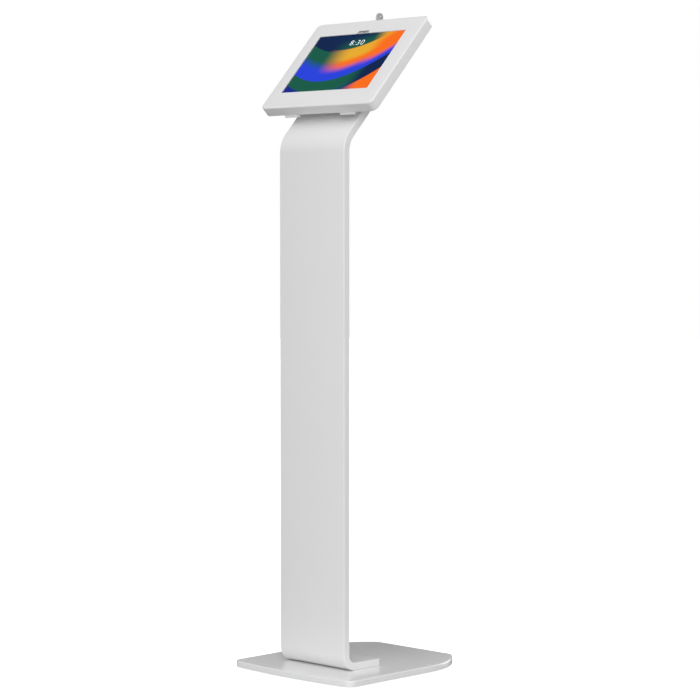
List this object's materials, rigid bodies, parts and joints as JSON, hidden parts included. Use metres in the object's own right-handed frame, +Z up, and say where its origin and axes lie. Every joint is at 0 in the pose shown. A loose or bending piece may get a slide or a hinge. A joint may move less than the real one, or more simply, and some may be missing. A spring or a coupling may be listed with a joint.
{
  "type": "touchscreen kiosk",
  "caption": "Free-standing touchscreen kiosk: lockable tablet enclosure on a bent sheet-metal column and a flat base plate.",
  "frame": {"origin": "on the floor, under the middle of the base plate's width and depth", "axes": "+Z up, +Y towards the back, +X to the right of someone facing the screen's front"},
  "size_m": [0.313, 0.35, 1.2472],
  "materials": {
    "powder_coat": "white powder coat, semi-gloss",
    "base_coat": "white powder coat, glossy and smooth",
    "pad_rubber": "matt black rubber",
    "steel_screw": "zinc-plated steel",
    "cast_spacer": "white powder coat over cast metal",
    "black_foam": "soft black foam",
    "holder_plastic": "matt black moulded plastic",
    "lock_metal": "nickel-plated zinc casting",
    "key_metal": "nickel-plated brass, a little worn",
    "tablet_metal": "fine bead-blasted anodised aluminium",
    "tablet_glass": "white-bordered cover glass",
    "display": "lit screen with an abstract colour field",
    "battery_wrap": "dark foil pouch",
    "board": "green circuit board",
    "socket_metal": "stamped steel",
    "camera_lens": "dark lens"
  },
  "bodies": {
    "stand": {"base_plate": "base_coat", "base_pads": "pad_rubber", "column": "powder_coat", "foot_screws": "steel_screw", "column_back_cover": "powder_coat", "cover_standoffs": "steel_screw", "cover_screws": "steel_screw", "outlet_grommet": "pad_rubber", "neck_grommet": "pad_rubber", "mount_spacer": "cast_spacer", "mount_bolts": "steel_screw", "mount_nuts": "steel_screw", "back_tray": "powder_coat", "tray_grommet": "pad_rubber", "hinge_leaves": "powder_coat", "hinge_rivets": "steel_screw", "hinge_pins": "steel_screw", "lock_strike": "steel_screw", "strike_screw": "steel_screw", "corner_holders": "holder_plastic", "holder_screws": "steel_screw", "holder_pads": "black_foam", "tablet_shell": "tablet_metal", "tablet_glass": "tablet_glass", "tablet_display": "display", "tablet_battery": "battery_wrap", "tablet_board": "board", "tablet_camera": "camera_lens", "usb_socket": "socket_metal"},
    "front_cover": {"front_frame": "powder_coat", "frame_gasket": "black_foam", "lock_body": "lock_metal", "lock_nut": "lock_metal"},
    "lock_core": {"lock_plug": "lock_metal", "lock_cam": "steel_screw"},
    "lock_key": {"key": "key_metal"},
    "power_button": {"power_button": "tablet_metal"},
    "volume_up_button": {"volume_up_button": "tablet_metal"},
    "volume_down_button": {"volume_down_button": "tablet_metal"}
  },
  "joints": [
    {"name": "cover_hinge", "type": "hinge", "parent": "stand", "child": "front_cover", "pos_m": [0, -0.08563, 1.0472], "axis": [1, 0, 0], "range_deg": [0, 95]},
    {"name": "lock_turn", "type": "hinge", "parent": "front_cover", "child": "lock_core", "pos_m": [0, 0.06324, 1.22517], "axis": [0, -0.682, -0.7314], "range_deg": [0, 90]},
    {"name": "key_pull", "type": "slide", "parent": "lock_core", "child": "lock_key", "axis": [0, 0.682, 0.7314], "range_m": [0, 0.024]},
    {"name": "power_press", "type": "slide", "parent": "stand", "child": "power_button", "axis": [1, 0, 0], "range_m": [0, 0.0004], "stiffness_N_per_m": 1500},
    {"name": "volume_up_press", "type": "slide", "parent": "stand", "child": "volume_up_button", "axis": [0, -0.682, -0.7314], "range_m": [0, 0.0004], "stiffness_N_per_m": 1500},
    {"name": "volume_down_press", "type": "slide", "parent": "stand", "child": "volume_down_button", "axis": [0, -0.682, -0.7314], "range_m": [0, 0.0004], "stiffness_N_per_m": 1500}
  ]
}
